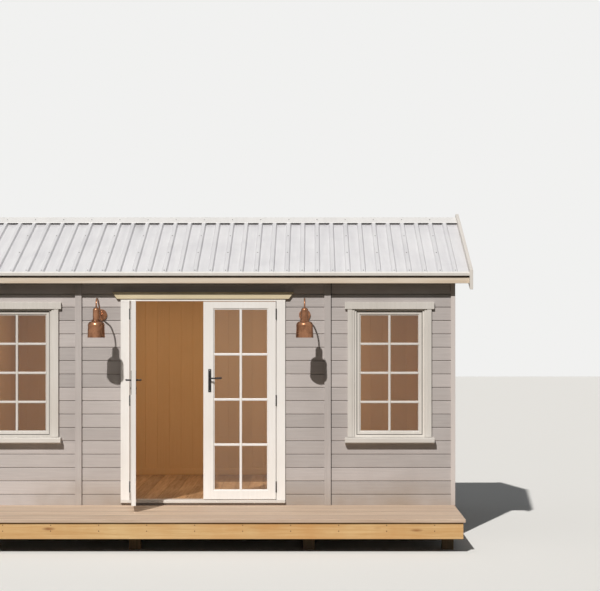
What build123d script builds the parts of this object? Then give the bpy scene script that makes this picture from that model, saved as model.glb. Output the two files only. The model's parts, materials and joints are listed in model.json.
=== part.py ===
"""Timber granny flat with a gable roof, a pair of glazed doors and a deck along its front.

Millimetres. X runs along the front, Y runs from the deck towards the back, Z is up.
The origin lies on the ground, in the middle of the whole building's plan.
"""

import os
from math import cos, hypot, radians, sin, tan

from build123d import *

os.makedirs("parts", exist_ok=True)

# How far a cut runs past the piece that it goes through
overcut = 1

# Ground, deck and floor levels
deck_level = 320
floor_level = 370
stump_size = 110
bearer_height = 90
bearer_width = 150
joist_width = 45
deck_board_thickness = 32
floor_board_thickness = 28
deck_joist_height = 90

# House
house_width = 5052
house_depth = 3520
wall_thickness = 120
eave_height = 2314
pitch = 18.6
eave_overhang = 195
verge_overhang = 151
roof_board_thickness = 22
batten_thickness = 20
batten_width = 45
batten_rows = 4
batten_margin = 60
ridge_beam_width = 60
ridge_beam_depth = 180

# Deck
deck_overrun = 14
deck_depth = 1460
deck_board_width = 140
deck_board_gap = 6
deck_board_nose = 20
deck_fascia_height = 155
deck_fascia_thickness = 30
deck_bearer_setback = 260
stump_spacing = 1660
stump_datum = 1070
stump_end_inset = 96
deck_joist_spacing = 450
floor_joist_spacing = 590

# Roof covering
sheet_thickness = 2
rib_pitch = 154
rib_height = 24
rib_base = 60
rib_top = 34
ridge_gap = 20
cap_wing = 210
cap_thickness = 3
fascia_height = 64
fascia_thickness = 20
sheet_lip = 25
eave_trim_thickness = 2
eave_trim_wing = 45
barge_thickness = 33
barge_depth = 200
barge_rise = 38
barge_nose = 20

# Corner boards and cover strips
corner_board_width = 44
corner_board_thickness = 20
cover_strip_width = 66
cover_strip_thickness = 25
strip_from_window = 625

# Doorway
leaf_width = 731
leaf_thickness = 42
leaf_bottom = 62
leaf_top = 2055
hinge_stile = 84
lock_stile = 108
top_rail = 76
bottom_rail = 94
meeting_gap = 8
hinge_gap = 6
running_gap = 6
jamb_width = 90
frame_stand = 22
door_head_thickness = 22
door_stop = 12
door_stop_clearance = 6
sill_bottom = 25
sill_top = 55
sill_nose = 35
lintel_height = 70
lintel_overlap = 87
lintel_splay = 50
lintel_thickness = 35
glass_thickness = 6
glazing_chamfer = 9
left_leaf_open = 84

# Hinges
hinge_height = 110
hinge_inset = 125
knuckle_radius = 6
knuckle_gap = 1
hinge_pin_radius = 3
pin_clearance = 0.1
pin_stand = 7
flap_thickness = 2.5
flap_depth = 32

# Lever furniture
lever_height = 1283
lever_backset = 64
lever_radius = 8
lever_reach = 46
lever_length = 118
lever_bend = 18
spindle_radius = 5
spindle_clearance = 2
plate_width = 30
plate_height = 232
plate_thickness = 4
plate_drop = 24
plate_clearance = 0.5
cylinder_radius = 8.5
cylinder_drop = 80
cylinder_stand = 4

# Windows
window_from_corner = 643
window_width = 706
window_bottom = 690
window_top = 1980
window_lining = 20
lining_stand = 6
sash_stile = 38
sash_thickness = 44
sash_setback = 14
casing_width = 71
casing_thickness = 28
casing_lip = 46
casing_step = 8
casing_head_height = 71
casing_head_thickness = 34
casing_ear = 28
window_sill_height = 67
window_sill_nose = 90
window_sill_fall = 10
window_sill_edge = 45
window_sill_drip = 30

# Wall lamps
lamp_share_to_strip = 0.459
lamp_stand = 480
shade_bottom = 1696
shade_height = 160
shade_radius = 87
shade_skirt_radius = 82
shade_skirt_rise = 109
shade_shoulder_radius = 54
shade_bulge = 9
shade_wall = 2.5
neck_radius = 46
neck_height = 18
cup_radius = 34
cup_height = 117
cup_round = 24
arm_radius = 8
arm_land = 4
arm_root = 60
arm_root_bend = 120
arm_knee = 330
arm_knee_bend = 220
arm_crown = 2080
arm_crown_bend = 60
rose_height = 1921
rose_radius = 58
rose_thickness = 14

# Places worked out from the sizes above
half_house = house_width / 2
deck_width = house_width + 2 * deck_overrun
inner_half = half_house - wall_thickness
front = (deck_depth - house_depth - eave_overhang - barge_nose) / 2
back = front + house_depth
middle = (front + back) / 2
front_inside = front + wall_thickness
back_inside = back - wall_thickness
deck_front = front - deck_depth
deck_joist_top = deck_level - deck_board_thickness
deck_frame_front = deck_front + deck_board_nose
deck_joist_front = deck_frame_front + deck_fascia_thickness
deck_frame_half = deck_width / 2 - deck_board_nose
deck_inner_half = deck_frame_half - deck_fascia_thickness
bearer_top = deck_joist_top - deck_joist_height
bearer_bottom = bearer_top - bearer_height
eave = front - eave_overhang
slope = tan(radians(pitch))
roof_half_width = half_house + verge_overhang
opening_half = meeting_gap / 2 + leaf_width + hinge_gap
frame_half = opening_half + jamb_width
lintel_half_width = frame_half + lintel_overlap
window_centre = half_house - window_from_corner
cover_strip_place = window_centre - strip_from_window
lamp_place = frame_half + lamp_share_to_strip * (cover_strip_place - frame_half)
head_bottom = deck_level + leaf_top + running_gap
head_top = head_bottom + door_head_thickness
frame_front = front - frame_stand


def sheet_bed(y):
    """Height of the plane that the roof sheets lie on."""
    run = y if y <= middle else 2 * middle - y
    return deck_level + eave_height + (run - eave) * slope


def boards_top(y):
    """Height of the top of the roof boards, on which the battens lie."""
    return sheet_bed(y) - batten_thickness / cos(radians(pitch))


def lining_under(y):
    """Height of the underside of the roof boards."""
    return boards_top(y) - roof_board_thickness / cos(radians(pitch))


def rib_crest(y):
    """Height of the crests of the roof ribs."""
    return sheet_bed(y) + (sheet_thickness + rib_height) / cos(radians(pitch))


def on_slope(y, flip):
    """A place given on the front slope, mirrored to the back slope where flip is -1."""
    return y if flip == 1 else 2 * middle - y


def up_the_roof(along, above, flip):
    """A place so far up the slope from the eave, and so far above the sheet bed, seen from the side."""
    y = eave + along * cos(radians(pitch)) - above * sin(radians(pitch))
    z = sheet_bed(eave) + along * sin(radians(pitch)) + above * cos(radians(pitch))
    return on_slope(y, flip), z


def block(x0, x1, y0, y1, z0, z1, mode=Mode.ADD):
    """A rectangular piece between two corners, added to the block that is open."""
    with Locations(((x0 + x1) / 2, (y0 + y1) / 2, (z0 + z1) / 2)):
        Box(x1 - x0, y1 - y0, z1 - z0, mode=mode)


def side_profile(points, x0, x1):
    """A piece with the given outline seen from the side, running from x0 to x1."""
    with BuildPart() as piece:
        with BuildSketch(Plane.YZ.offset(x0)):
            with BuildLine():
                Polyline(*points, close=True)
            make_face()
        extrude(amount=x1 - x0)
    return piece.part


def save(piece, name):
    piece.label = name
    export_step(piece, f"parts/{name}.step")


# Stumps and bearers
stump_rows = [
    deck_joist_front + deck_bearer_setback + bearer_width / 2,
    front + bearer_width / 2,
    middle,
    back - bearer_width / 2,
]


def bearer_reach(row):
    """Half the length of the bearer in this row."""
    return half_house if row > front else deck_inner_half


with BuildPart() as stumps:
    for row in stump_rows:
        end_column = bearer_reach(row) - stump_end_inset
        spaces = int((stump_datum + end_column) / stump_spacing)
        columns = [stump_datum - number * stump_spacing for number in range(spaces + 1)]
        for column in (*columns, end_column):
            with Locations((column, row, bearer_bottom / 2)):
                Box(stump_size, stump_size, bearer_bottom)
save(stumps.part, "stumps")

with BuildPart() as bearers:
    for row in stump_rows:
        reach = bearer_reach(row)
        block(-reach, reach, row - bearer_width / 2, row + bearer_width / 2, bearer_bottom, bearer_top)
save(bearers.part, "bearers")

# Floor of the house
floor_joist_top = floor_level - floor_board_thickness
floor_joist_count = int((2 * inner_half - joist_width) / floor_joist_spacing) + 1
with BuildPart() as floor_joists:
    with Locations((0, middle, (bearer_top + floor_joist_top) / 2)):
        with GridLocations(floor_joist_spacing, 1, floor_joist_count, 1):
            Box(joist_width, back_inside - front_inside, floor_joist_top - bearer_top)
save(floor_joists.part, "floor_joists")

with BuildPart() as floor_boards:
    block(-inner_half, inner_half, front_inside, back_inside, floor_joist_top, floor_level)
save(floor_boards.part, "floor_boards")

# Deck
deck_joist_count = int((2 * deck_inner_half - joist_width) / deck_joist_spacing) + 1
with BuildPart() as deck_joists:
    with Locations((0, (deck_joist_front + front) / 2, (bearer_top + deck_joist_top) / 2)):
        with GridLocations(deck_joist_spacing, 1, deck_joist_count, 1):
            Box(joist_width, front - deck_joist_front, deck_joist_height)
save(deck_joists.part, "deck_joists")

deck_fascia_bottom = deck_joist_top - deck_fascia_height
with BuildPart() as deck_fascia_front:
    block(
        -deck_frame_half, deck_frame_half, deck_frame_front, deck_joist_front,
        deck_fascia_bottom, deck_joist_top,
    )
save(deck_fascia_front.part, "deck_fascia_front")

with BuildPart() as deck_fascia_sides:
    for sign in (-1, 1):
        edges_x = sorted((sign * deck_inner_half, sign * deck_frame_half))
        block(*edges_x, deck_joist_front, front, deck_fascia_bottom, deck_joist_top)
save(deck_fascia_sides.part, "deck_fascia_sides")

deck_board_count = int(deck_depth / (deck_board_width + deck_board_gap))
deck_board_step = (deck_depth - deck_board_width) / (deck_board_count - 1) if deck_board_count > 1 else 0
with BuildPart() as deck_boards:
    for number in range(deck_board_count):
        board_front = deck_front + number * deck_board_step
        board_back = board_front + deck_board_width
        block(-deck_width / 2, deck_width / 2, board_front, board_back, deck_joist_top, deck_level)
save(deck_boards.part, "deck_boards")


# Walls
def long_wall(x0, x1, z0, outer, inner):
    """A stretch of the front or back wall from height z0 up to the roof boards."""
    outline = [(outer, z0), (inner, z0), (inner, lining_under(inner)), (outer, lining_under(outer))]
    return side_profile(outline, x0, x1)


for side, sign in (("left", -1), ("right", 1)):
    wall_ends = sorted((sign * half_house, sign * frame_half))
    with BuildPart() as front_wall:
        add(long_wall(*wall_ends, bearer_top, front, front_inside))
        opening_x = sign * window_centre - window_width / 2
        block(
            opening_x, opening_x + window_width, front - overcut, front_inside + overcut,
            deck_level + window_bottom, deck_level + window_top, Mode.SUBTRACT,
        )
    save(front_wall.part, f"front_wall_{side}")

save(long_wall(-frame_half, frame_half, head_top, front, front_inside), "front_wall_over_door")

with BuildPart() as front_wall_below_door:
    block(-frame_half, frame_half, front, front_inside, bearer_top, deck_level + sill_bottom)
save(front_wall_below_door.part, "front_wall_below_door")

save(long_wall(-half_house, half_house, bearer_top, back, back_inside), "back_wall")

gable_outline = [
    (front_inside, bearer_top),
    (back_inside, bearer_top),
    (back_inside, lining_under(back_inside)),
    (middle, lining_under(middle)),
    (front_inside, lining_under(front_inside)),
]
save(side_profile(gable_outline, -half_house, -inner_half), "gable_wall_left")
save(side_profile(gable_outline, inner_half, half_house), "gable_wall_right")

# Corner boards, each an L that wraps a corner of the house
corner_top = lining_under(front - corner_board_thickness)
with BuildPart() as corner_boards:
    for x_sign in (-1, 1):
        for y_sign, face in ((-1, front), (1, back)):
            across = sorted((x_sign * (half_house + corner_board_thickness),
                             x_sign * (half_house + corner_board_thickness - corner_board_width)))
            stand = sorted((face, face + y_sign * corner_board_thickness))
            block(*across, *stand, deck_level if face == front else bearer_top, corner_top)
            beside = sorted((x_sign * half_house, x_sign * (half_house + corner_board_thickness)))
            along = sorted((face, face - y_sign * (corner_board_width - corner_board_thickness)))
            block(*beside, *along, bearer_top, corner_top)
save(corner_boards.part, "corner_boards")

strip_top = lining_under(front - cover_strip_thickness)
with BuildPart() as cover_strips:
    for face, y_sign, strip_bottom in ((front, -1, deck_level), (back, 1, bearer_top)):
        for x_sign in (-1, 1):
            centre = x_sign * cover_strip_place
            stand = sorted((face, face + y_sign * cover_strip_thickness))
            strip_edges = (centre - cover_strip_width / 2, centre + cover_strip_width / 2)
            block(*strip_edges, *stand, strip_bottom, strip_top)
save(cover_strips.part, "cover_strips")


# Windows
panes = []
window_sill_pair = []
for side, sign in (("left", -1), ("right", 1)):
    centre = sign * window_centre
    x0 = centre - window_width / 2
    x1 = centre + window_width / 2
    z0 = deck_level + window_bottom
    z1 = deck_level + window_top

    with BuildPart() as window_lining_box:
        block(x0, x1, front - lining_stand, front_inside, z0, z1)
        block(
            x0 + window_lining, x1 - window_lining, front - lining_stand - overcut, front_inside + overcut,
            z0 + window_lining, z1 - window_lining, Mode.SUBTRACT,
        )
    save(window_lining_box.part, f"window_frame_{side}")

    sash_x0 = x0 + window_lining
    sash_x1 = x1 - window_lining
    sash_z0 = z0 + window_lining
    sash_z1 = z1 - window_lining
    sash_front = front - lining_stand + sash_setback
    with BuildPart() as window_sash:
        block(sash_x0, sash_x1, sash_front, sash_front + sash_thickness, sash_z0, sash_z1)
        block(
            sash_x0 + sash_stile, sash_x1 - sash_stile,
            sash_front - overcut, sash_front + sash_thickness + overcut,
            sash_z0 + sash_stile, sash_z1 - sash_stile, Mode.SUBTRACT,
        )
        sash_face = window_sash.faces().sort_by(Axis.Y)[0]
        chamfer(sash_face.inner_wires()[0].edges(), glazing_chamfer)
    save(window_sash.part, f"window_sash_{side}")

    glass_front = sash_front + (sash_thickness - glass_thickness) / 2
    with BuildPart() as window_glass:
        block(
            sash_x0 + sash_stile, sash_x1 - sash_stile, glass_front, glass_front + glass_thickness,
            sash_z0 + sash_stile, sash_z1 - sash_stile,
        )
    panes.append(window_glass.part)

    with BuildPart() as window_casing:
        for edge, lip_edge in ((x0 - casing_width, x0 - casing_width), (x1, x1 + casing_width - casing_lip)):
            block(edge, edge + casing_width, front - casing_thickness + casing_step, front, z0, z1)
            block(lip_edge, lip_edge + casing_lip, front - casing_thickness, front, z0, z1)
        block(
            x0 - casing_width - casing_ear, x1 + casing_width + casing_ear,
            front - casing_head_thickness, front, z1, z1 + casing_head_height,
        )
    save(window_casing.part, f"window_casing_{side}")

    sill_outline = [
        (front, z0 - window_sill_height),
        (front, z0),
        (front - window_sill_nose, z0 - window_sill_fall),
        (front - window_sill_nose, z0 - window_sill_fall - window_sill_edge),
        (front - window_sill_nose + window_sill_drip, z0 - window_sill_fall - window_sill_edge),
        (front - window_sill_nose + window_sill_drip, z0 - window_sill_height),
    ]
    sill = side_profile(sill_outline, x0 - casing_width - casing_ear, x1 + casing_width + casing_ear)
    window_sill_pair.append(sill)

with BuildPart() as window_panes:
    add(panes)
save(window_panes.part, "window_glass")

with BuildPart() as window_sills:
    add(window_sill_pair)
save(window_sills.part, "window_sills")

# Door frame, sill and lintel
for side, sign in (("left", -1), ("right", 1)):
    jamb_edges = sorted((sign * opening_half, sign * frame_half))
    stop_edges = sorted((sign * (opening_half - door_stop), sign * opening_half))
    with BuildPart() as door_jamb:
        block(*jamb_edges, frame_front, front_inside, deck_level + sill_top, head_bottom)
        block(
            *stop_edges, frame_front + leaf_thickness + door_stop_clearance, front_inside,
            deck_level + sill_top, head_bottom,
        )
    save(door_jamb.part, f"door_jamb_{side}")

with BuildPart() as door_head:
    block(-frame_half, frame_half, frame_front, front_inside, head_bottom, head_top)
save(door_head.part, "door_head")

with BuildPart() as door_sill:
    block(
        -frame_half, frame_half, front - sill_nose, front_inside,
        deck_level + sill_bottom, deck_level + sill_top,
    )
save(door_sill.part, "door_sill")

with BuildPart() as door_lintel:
    with BuildSketch(Plane.XZ.offset(-front)):
        with BuildLine():
            Polyline(
                (-lintel_half_width + lintel_splay, head_top),
                (lintel_half_width - lintel_splay, head_top),
                (lintel_half_width, head_top + lintel_height),
                (-lintel_half_width, head_top + lintel_height),
                close=True,
            )
        make_face()
    extrude(amount=lintel_thickness)
save(door_lintel.part, "door_lintel")


# Door leaves. Each is laid out from its hinge pin: along runs to the lock edge,
# and depth runs into the wall
def leaf_block(depth_sign, a0, a1, d0, d1, z0, z1, mode=Mode.ADD):
    """A rectangular piece of a leaf, with depth counted from the outer face."""
    pin_a = hinge_gap / 2
    depths = sorted((depth_sign * (d0 + pin_stand), depth_sign * (d1 + pin_stand)))
    block(a0 + pin_a, a1 + pin_a, *depths, z0, z1, mode)


leaf_z0 = deck_level + leaf_bottom
leaf_z1 = deck_level + leaf_top
hinge_heights = [leaf_z0 + hinge_inset, (leaf_z0 + leaf_z1) / 2, leaf_z1 - hinge_inset]
lever_z = deck_level + lever_height
lever_along = leaf_width - lever_backset + hinge_gap / 2
knuckle_height = (hinge_height - 2 * knuckle_gap) / 3

jamb_hinge_sets = []
for side, sign in (("left", -1), ("right", 1)):
    opened = radians(left_leaf_open if side == "left" else 0)
    pin_x = sign * (opening_half - hinge_gap / 2)
    pin_y = frame_front - pin_stand
    leaf_plane = Plane(
        origin=(pin_x, pin_y, 0), x_dir=(-sign * cos(opened), -sin(opened), 0), z_dir=(0, 0, 1)
    )
    frame_plane = Plane(origin=(pin_x, pin_y, 0), x_dir=(-sign, 0, 0), z_dir=(0, 0, 1))
    depth_sign = -sign

    with BuildPart() as leaf_shape:
        leaf_block(depth_sign, 0, leaf_width, 0, leaf_thickness, leaf_z0, leaf_z1)
        leaf_block(
            depth_sign, hinge_stile, leaf_width - lock_stile, -overcut, leaf_thickness + overcut,
            leaf_z0 + bottom_rail, leaf_z1 - top_rail, Mode.SUBTRACT,
        )
        for face in leaf_shape.faces().filter_by(Axis.Y):
            if face.inner_wires():
                chamfer(face.inner_wires()[0].edges(), glazing_chamfer)
        with BuildSketch(Plane.XZ):
            with Locations((lever_along, lever_z)):
                Circle(spindle_radius + spindle_clearance)
        extrude(amount=2 * (leaf_thickness + pin_stand), both=True, mode=Mode.SUBTRACT)
    save(leaf_plane.from_local_coords(leaf_shape.part), f"door_leaf_{side}")

    pane_depth = (leaf_thickness - glass_thickness) / 2
    with BuildPart() as leaf_pane:
        leaf_block(
            depth_sign, hinge_stile, leaf_width - lock_stile, pane_depth, pane_depth + glass_thickness,
            leaf_z0 + bottom_rail, leaf_z1 - top_rail,
        )
    save(leaf_plane.from_local_coords(leaf_pane.part), f"door_glass_{side}")

    # Long backplates outside and inside, with the key cylinder below the lever
    plate_centre = lever_z - plate_drop
    plate_a0 = leaf_width - lever_backset - plate_width / 2
    with BuildPart() as lever_plates:
        for d0, cylinder_d in (
            (-plate_thickness, -cylinder_stand - plate_thickness),
            (leaf_thickness, leaf_thickness),
        ):
            leaf_block(
                depth_sign, plate_a0, plate_a0 + plate_width, d0, d0 + plate_thickness,
                plate_centre - plate_height / 2, plate_centre + plate_height / 2,
            )
            cylinder_middle = depth_sign * (cylinder_d + pin_stand + (cylinder_stand + plate_thickness) / 2)
            with Locations((lever_along, cylinder_middle, lever_z - cylinder_drop)):
                Cylinder(cylinder_radius, cylinder_stand + plate_thickness, rotation=(90, 0, 0))
        with BuildSketch(Plane.XZ):
            with Locations((lever_along, lever_z)):
                Circle(spindle_radius + spindle_clearance)
        extrude(amount=2 * (leaf_thickness + pin_stand), both=True, mode=Mode.SUBTRACT)
    save(leaf_plane.from_local_coords(lever_plates.part), f"lever_plates_{side}")

    # Lever: one bar bent from the outer grip, through the spindle, to the inner grip
    outer_reach = depth_sign * (pin_stand - plate_thickness - lever_reach)
    inner_reach = depth_sign * (pin_stand + leaf_thickness + plate_thickness + lever_reach)
    outer_hub = depth_sign * (pin_stand - plate_thickness - plate_clearance)
    inner_hub = depth_sign * (pin_stand + leaf_thickness + plate_thickness + plate_clearance)
    with BuildPart() as lever:
        with Locations((lever_along, (outer_hub + inner_hub) / 2, lever_z)):
            Cylinder(spindle_radius, abs(inner_hub - outer_hub), rotation=(90, 0, 0))
        for hub, reach in ((outer_hub, outer_reach), (inner_hub, inner_reach)):
            with BuildLine() as grip_line:
                FilletPolyline(
                    (lever_along, hub, lever_z),
                    (lever_along, reach, lever_z),
                    (lever_along - lever_length, reach, lever_z),
                    radius=lever_bend,
                )
            with BuildSketch(Plane(origin=(lever_along, hub, lever_z), z_dir=(0, reach - hub, 0))):
                Circle(lever_radius)
            sweep(path=grip_line.wire())
    save(leaf_plane.from_local_coords(lever.part), f"lever_{side}")

    # Hinges: the jamb carries two knuckles and the pin, and the leaf carries the knuckle between them
    with BuildPart() as jamb_hinge_set:
        for height in hinge_heights:
            with Locations((0, 0, height)):
                Cylinder(hinge_pin_radius, hinge_height)
            for step in (-1, 1):
                knuckle_z = height + step * (knuckle_height + knuckle_gap)
                with Locations((0, 0, knuckle_z)):
                    Cylinder(knuckle_radius, knuckle_height)
                leaf_block(
                    depth_sign, -hinge_gap, -hinge_gap + flap_thickness,
                    -pin_stand + hinge_pin_radius, flap_depth,
                    knuckle_z - knuckle_height / 2, knuckle_z + knuckle_height / 2,
                )
    jamb_hinge_sets.append(frame_plane.from_local_coords(jamb_hinge_set.part))

    with BuildPart() as leaf_hinges:
        for height in hinge_heights:
            with Locations((0, 0, height)):
                Cylinder(knuckle_radius, knuckle_height)
            leaf_block(
                depth_sign, -flap_thickness, 0, -pin_stand + hinge_pin_radius, flap_depth,
                height - knuckle_height / 2, height + knuckle_height / 2,
            )
            with Locations((0, 0, height)):
                Cylinder(hinge_pin_radius + pin_clearance, knuckle_height, mode=Mode.SUBTRACT)
    save(leaf_plane.from_local_coords(leaf_hinges.part), f"leaf_hinges_{side}")

with BuildPart() as jamb_hinges:
    add(jamb_hinge_sets)
save(jamb_hinges.part, "jamb_hinges")

# Roof: lining boards on a ridge beam and two purlins, then battens and ribbed steel sheets
lining_end = eave + sheet_lip + fascia_thickness
slope_length = (middle - ridge_gap - eave) / cos(radians(pitch))
batten_step = (slope_length - 2 * batten_margin - batten_width) / (batten_rows - 1)
crest_height = sheet_thickness + rib_height
purlins = []
battens = []
eave_fascias = []
eave_trims = []
for name, flip in (("front", 1), ("back", -1)):
    boards_outline = [
        (on_slope(lining_end, flip), lining_under(lining_end)),
        (on_slope(middle, flip), lining_under(middle)),
        (on_slope(middle, flip), boards_top(middle)),
        (on_slope(lining_end, flip), boards_top(lining_end)),
    ]
    save(side_profile(boards_outline, -roof_half_width, roof_half_width), f"roof_boards_{name}")

    fascia_front = eave + sheet_lip
    fascia_top = boards_top(fascia_front)
    fascia_outline = [
        (on_slope(fascia_front, flip), fascia_top - fascia_height),
        (on_slope(lining_end, flip), fascia_top - fascia_height),
        (on_slope(lining_end, flip), fascia_top),
        (on_slope(fascia_front, flip), fascia_top),
    ]
    eave_fascias.append(side_profile(fascia_outline, -roof_half_width, roof_half_width))

    purlin_place = (front_inside + middle) / 2
    purlin_outline = [
        (on_slope(y, flip), z)
        for y, z in (
            (purlin_place - ridge_beam_width / 2, lining_under(purlin_place - ridge_beam_width / 2)),
            (purlin_place + ridge_beam_width / 2, lining_under(purlin_place + ridge_beam_width / 2)),
            (purlin_place + ridge_beam_width / 2, lining_under(purlin_place) - ridge_beam_depth),
            (purlin_place - ridge_beam_width / 2, lining_under(purlin_place) - ridge_beam_depth),
        )
    ]
    purlins.append(side_profile(purlin_outline, -inner_half, inner_half))

    # Battens across the boards, which lift the sheets off them
    for row in range(batten_rows):
        low_edge = batten_margin + row * batten_step
        high_edge = low_edge + batten_width
        batten_outline = [
            up_the_roof(low_edge, -batten_thickness, flip),
            up_the_roof(high_edge, -batten_thickness, flip),
            up_the_roof(high_edge, 0, flip),
            up_the_roof(low_edge, 0, flip),
        ]
        battens.append(side_profile(batten_outline, -roof_half_width, roof_half_width))

    # Folded eave trim: it closes the open ends of the ribs and laps over their crests
    trim_outline = [
        up_the_roof(-eave_trim_thickness, 0, flip),
        up_the_roof(0, 0, flip),
        up_the_roof(0, crest_height, flip),
        up_the_roof(eave_trim_wing, crest_height, flip),
        up_the_roof(eave_trim_wing, crest_height + eave_trim_thickness, flip),
        up_the_roof(-eave_trim_thickness, crest_height + eave_trim_thickness, flip),
    ]
    eave_trims.append(side_profile(trim_outline, -roof_half_width, roof_half_width))

    # Ribbed sheet: folded ribs, hollow underneath, run from the eave up to just short of the ridge
    rib_wall = sheet_thickness * hypot((rib_base - rib_top) / 2, rib_height) / rib_height
    rib_count = int((2 * roof_half_width - rib_base) / rib_pitch)
    up_slope = (0, flip * cos(radians(pitch)), sin(radians(pitch)))
    sheet_plane = Plane(
        origin=(0, on_slope(eave, flip), sheet_bed(eave)), x_dir=(-flip, 0, 0), z_dir=up_slope
    )
    with BuildPart() as roof_sheet:
        with BuildSketch(sheet_plane):
            with Locations((0, sheet_thickness / 2)):
                Rectangle(2 * roof_half_width, sheet_thickness)
            with GridLocations(rib_pitch, 1, rib_count, 1):
                Polygon(
                    (-rib_base / 2, sheet_thickness / 2),
                    (rib_base / 2, sheet_thickness / 2),
                    (rib_top / 2, crest_height),
                    (-rib_top / 2, crest_height),
                    align=None,
                )
                Polygon(
                    (-rib_base / 2 + rib_wall, 0),
                    (rib_base / 2 - rib_wall, 0),
                    (rib_top / 2 - rib_wall, rib_height),
                    (-rib_top / 2 + rib_wall, rib_height),
                    align=None,
                    mode=Mode.SUBTRACT,
                )
        extrude(amount=slope_length)
    save(roof_sheet.part, f"roof_sheet_{name}")

    # Barge boards: parallel to the slope, plumb at the nose and at the ridge
    barge_front = eave - barge_nose
    rise = (sheet_thickness + rib_height + barge_rise) / cos(radians(pitch))
    barge_outline = [
        (on_slope(barge_front, flip), sheet_bed(barge_front) + rise),
        (on_slope(middle, flip), sheet_bed(middle) + rise),
        (on_slope(middle, flip), sheet_bed(middle) + rise - barge_depth),
        (on_slope(barge_front, flip), sheet_bed(barge_front) + rise - barge_depth),
    ]
    with BuildPart() as barge_boards:
        for barge_start in (-roof_half_width - barge_thickness, roof_half_width):
            add(side_profile(barge_outline, barge_start, barge_start + barge_thickness))
    save(barge_boards.part, f"barge_boards_{name}")

with BuildPart() as purlin_pair:
    add(purlins)
save(purlin_pair.part, "purlins")

with BuildPart() as roof_battens:
    add(battens)
save(roof_battens.part, "roof_battens")

with BuildPart() as trim_pair:
    add(eave_trims)
save(trim_pair.part, "eave_trims")

with BuildPart() as fascia_pair:
    add(eave_fascias)
save(fascia_pair.part, "eave_fascias")

ridge_beam_outline = [
    (middle - ridge_beam_width / 2, lining_under(middle - ridge_beam_width / 2)),
    (middle, lining_under(middle)),
    (middle + ridge_beam_width / 2, lining_under(middle + ridge_beam_width / 2)),
    (middle + ridge_beam_width / 2, lining_under(middle) - ridge_beam_depth),
    (middle - ridge_beam_width / 2, lining_under(middle) - ridge_beam_depth),
]
save(side_profile(ridge_beam_outline, -inner_half, inner_half), "ridge_beam")

cap_lift = cap_thickness / cos(radians(pitch))
cap_outline = [
    (middle - cap_wing, rib_crest(middle - cap_wing)),
    (middle, rib_crest(middle)),
    (middle + cap_wing, rib_crest(middle + cap_wing)),
    (middle + cap_wing, rib_crest(middle + cap_wing) + cap_lift),
    (middle, rib_crest(middle) + cap_lift),
    (middle - cap_wing, rib_crest(middle - cap_wing) + cap_lift),
]
save(side_profile(cap_outline, -roof_half_width, roof_half_width), "ridge_cap")

# Wall lamps: a round wall rose, a swan-neck arm, and a spun bell shade under its lampholder cup
for side, sign in (("left", -1), ("right", 1)):
    lamp_x = sign * lamp_place
    lamp_y = front - lamp_stand
    rose_z = deck_level + rose_height
    shade_z = deck_level + shade_bottom
    shoulder_z = shade_z + shade_height
    neck_z = shoulder_z + neck_height
    cup_top = neck_z + cup_height

    with BuildPart() as lamp_arm:
        with Locations((lamp_x, front - rose_thickness / 2, rose_z)):
            Cylinder(rose_radius, rose_thickness, rotation=(90, 0, 0))
        with BuildLine() as arm_line:
            FilletPolyline(
                (lamp_x, front - rose_thickness / 2, rose_z),
                (lamp_x, front - arm_root, rose_z),
                (lamp_x, front - arm_knee, deck_level + arm_crown),
                (lamp_x, lamp_y, deck_level + arm_crown),
                (lamp_x, lamp_y, cup_top),
                radius=[arm_root_bend, arm_knee_bend, arm_crown_bend],
            )
        with BuildSketch(Plane(origin=(lamp_x, front - rose_thickness / 2, rose_z), z_dir=(0, -1, 0))):
            Circle(arm_radius)
        sweep(path=arm_line.wire())
    save(lamp_arm.part, f"lamp_arm_{side}")

    with BuildPart() as lamp_shade:
        with BuildSketch(Plane(origin=(lamp_x, lamp_y, 0), x_dir=(1, 0, 0), z_dir=(0, -1, 0))):
            skirt_z = shade_z + shade_skirt_rise
            bulge_radius = (shade_skirt_radius + shade_shoulder_radius) / 2 + shade_bulge
            bulge_z = (skirt_z + shoulder_z) / 2 + shade_bulge
            cup_round_z = cup_top - cup_round
            half_round = cup_round * sin(radians(45))
            with BuildLine():
                skirt = Line((shade_radius, shade_z), (shade_skirt_radius, skirt_z))
                shoulder = ThreePointArc(
                    skirt @ 1, (bulge_radius, bulge_z), (shade_shoulder_radius, shoulder_z)
                )
                collar = Polyline(
                    shoulder @ 1,
                    (neck_radius, shoulder_z),
                    (neck_radius, neck_z),
                    (cup_radius, neck_z),
                    (cup_radius, cup_round_z),
                )
                cup_dome = ThreePointArc(
                    collar @ 1,
                    (cup_radius - cup_round + half_round, cup_round_z + half_round),
                    (arm_radius + arm_land, cup_top),
                )
                core = Polyline(
                    cup_dome @ 1,
                    (0, cup_top),
                    (0, shoulder_z - shade_wall),
                    (shade_shoulder_radius - shade_wall, shoulder_z - shade_wall),
                )
                inner_shoulder = ThreePointArc(
                    core @ 1,
                    (bulge_radius - shade_wall, bulge_z - shade_wall),
                    (shade_skirt_radius - shade_wall, skirt_z),
                )
                Polyline(inner_shoulder @ 1, (shade_radius - shade_wall, shade_z), skirt @ 0)
            make_face()
        revolve(axis=Axis((lamp_x, lamp_y, 0), (0, 0, 1)))
    save(lamp_shade.part, f"lamp_shade_{side}")
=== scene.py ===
# %% [markdown]
# # A timber granny flat
# A small cabin stands on stumps, with board walls, a roof of ribbed steel, a pair of glazed doors and a
# deck. Its construction is already made at real size, and every piece of it is loaded as a fixed frame.
# This lesson dresses that frame: it lays real boards on the walls, softens the sawn edges, adds window bars
# and screws, and gives each surface a finish that is worked out from its own position.
# Working round a fixed frame means that nothing has to be fitted afterwards.

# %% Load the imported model
import json
import random
from math import atan2, pi, radians

import bmesh
import bpy
from mathutils import Matrix, Vector

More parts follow.
